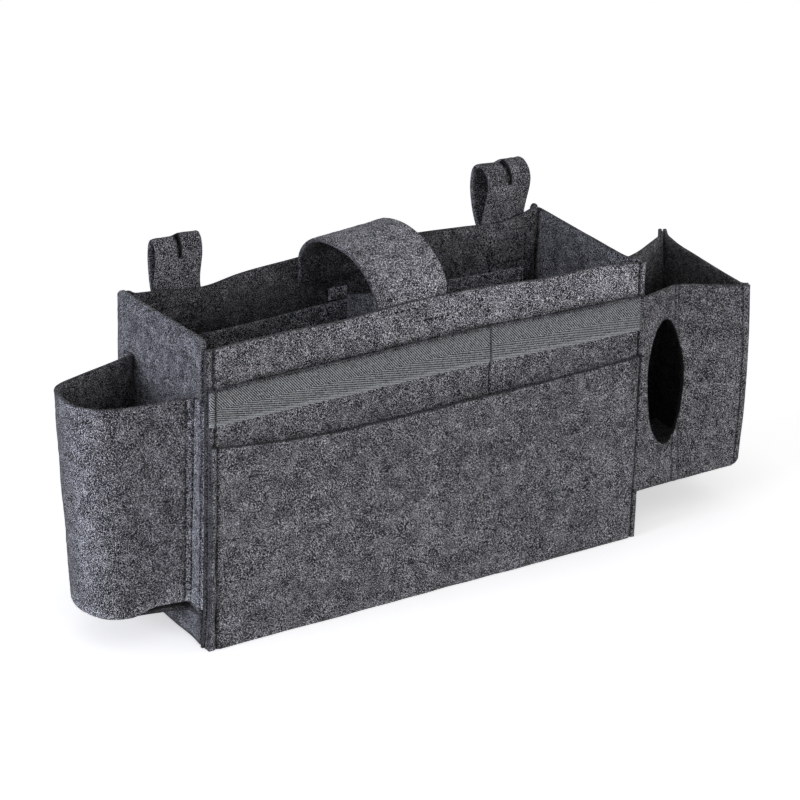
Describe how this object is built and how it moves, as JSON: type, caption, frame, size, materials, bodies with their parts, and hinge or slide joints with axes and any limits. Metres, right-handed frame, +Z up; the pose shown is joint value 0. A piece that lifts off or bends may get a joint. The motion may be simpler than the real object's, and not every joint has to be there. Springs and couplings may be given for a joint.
{
  "type": "bedside caddy",
  "caption": "Felt hanging caddy: open box with a cross divider, flat pockets, webbing band, arch handle, hanging loops, a bottle pocket and a tissue pocket.",
  "frame": {"origin": "centre of the main box's underside, on the surface it stands on", "axes": "+X along the front towards the tissue pocket, +Y from the front to the back, +Z up"},
  "size_m": [0.5414, 0.1467, 0.2555],
  "materials": {
    "felt": "matt dark-grey melange felt",
    "webbing": "matt grey-green herringbone tape",
    "thread": "dark sewing thread"
  },
  "bodies": {
    "caddy": {"base_panel": "felt", "front_panel": "felt", "back_panel": "felt", "left_panel": "felt", "right_panel": "felt", "middle_pocket": "felt", "front_pocket": "felt", "inner_pocket": "felt", "cross_divider": "felt", "handle_front_tab": "felt", "handle_back_tab": "felt", "left_loop_front_tab": "felt", "left_loop_rear_tab": "felt", "right_loop_front_tab": "felt", "right_loop_rear_tab": "felt", "bottle_wrap": "felt", "bottle_base": "felt", "tissue_front_panel": "felt", "tissue_back_panel": "felt", "tissue_outer_panel": "felt", "tissue_base": "felt", "webbing_band": "webbing", "divider_seam_tape": "webbing", "left_corner_thread": "thread", "right_corner_thread": "thread", "pocket_divide_thread": "thread", "inner_left_thread": "thread", "inner_right_thread": "thread", "handle_front_thread": "thread", "handle_back_thread": "thread", "left_loop_thread": "thread", "right_loop_thread": "thread", "bottle_front_thread": "thread", "bottle_edge_thread": "thread", "bottle_back_thread": "thread", "tissue_corner_thread": "thread", "tissue_wall_thread": "thread"},
    "handle": {"handle_arch": "felt"},
    "left_loop": {"left_hanging_loop": "felt"},
    "right_loop": {"right_hanging_loop": "felt"}
  },
  "joints": [
    {"name": "handle_lean", "type": "hinge", "parent": "caddy", "child": "handle", "pos_m": [-0.0105, 0.0045, 0.214], "axis": [0, 1, 0], "range_deg": [-25, 25], "stiffness_Nm_per_rad": 0.05},
    {"name": "left_loop_fold", "type": "hinge", "parent": "caddy", "child": "left_loop", "pos_m": [-0.1315, 0.06195, 0.204], "axis": [1, 0, 0], "range_deg": [-80, 5], "stiffness_Nm_per_rad": 0.02},
    {"name": "right_loop_fold", "type": "hinge", "parent": "caddy", "child": "right_loop", "pos_m": [0.1415, 0.06195, 0.204], "axis": [1, 0, 0], "range_deg": [-80, 5], "stiffness_Nm_per_rad": 0.02}
  ]
}
